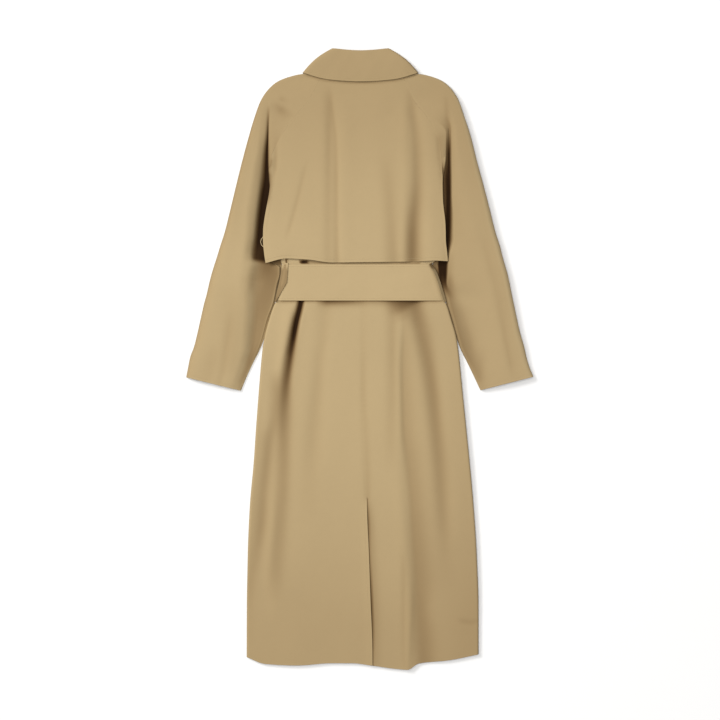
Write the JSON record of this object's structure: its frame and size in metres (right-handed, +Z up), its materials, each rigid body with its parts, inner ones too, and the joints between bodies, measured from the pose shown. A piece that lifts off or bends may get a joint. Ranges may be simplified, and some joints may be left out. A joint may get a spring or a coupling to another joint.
{
  "type": "trench coat",
  "caption": "Long belted trench coat with raglan sleeves, a storm flap, a turned-down collar and a back vent, laid flat with its back up.",
  "frame": {"origin": "middle of the coat's outline on the surface that it lies on", "axes": "+Z up from the surface, out of the coat's back; +Y towards the collar; +X towards the wearer's right side"},
  "size_m": [0.691, 1.2397, 0.0222],
  "materials": {
    "coating": "smooth, closely woven cotton coating with a dull bloom",
    "button": "brown, dull polish",
    "thread": "matte buttonhole thread"
  },
  "bodies": {
    "root": {"back_left": "coating", "back_right": "coating", "storm_flap": "coating", "front_left": "coating", "front_right": "coating", "sleeve_left": "coating", "sleeve_right": "coating", "collar_fall": "coating", "collar_stand": "coating", "belt": "coating", "belt_loop_left": "coating", "belt_loop_right": "coating", "button_1": "button", "button_2": "button", "button_3": "button", "button_4": "button", "button_5": "button", "flap_loop": "thread"}
  },
  "joints": []
}
